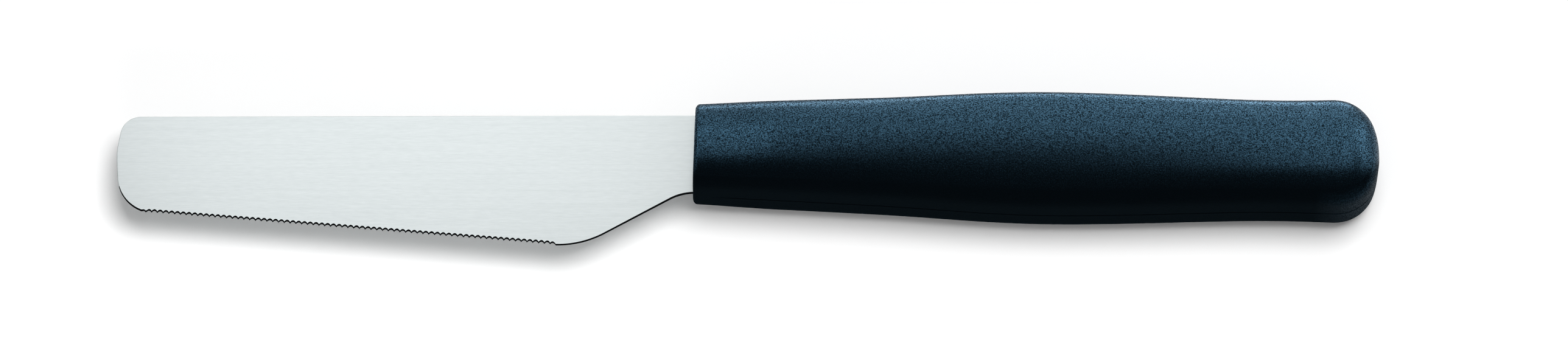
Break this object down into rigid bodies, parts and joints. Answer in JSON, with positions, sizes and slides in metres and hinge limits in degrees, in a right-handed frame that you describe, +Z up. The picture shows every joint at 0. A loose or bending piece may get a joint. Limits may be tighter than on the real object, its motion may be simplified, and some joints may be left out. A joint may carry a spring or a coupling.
{
  "type": "serrated utility knife",
  "caption": "Serrated utility knife: a round-ended steel blade with a scalloped edge and a stepped-up heel, its tang moulded into a plain, gently swelling polymer handle.",
  "frame": {"origin": "on the surface the knife lies on, under the middle of its length and width", "axes": "+X along the knife from the blade's tip to the handle's butt, +Y from the serrated edge to the spine, +Z up from the surface the knife lies on"},
  "size_m": [0.24, 0.0294, 0.0176],
  "materials": {
    "blade_steel": "satin, brushed along the blade",
    "handle_polymer": "fine-grained, blue-black"
  },
  "bodies": {
    "root": {"blade": "blade_steel", "handle": "handle_polymer"}
  },
  "joints": []
}
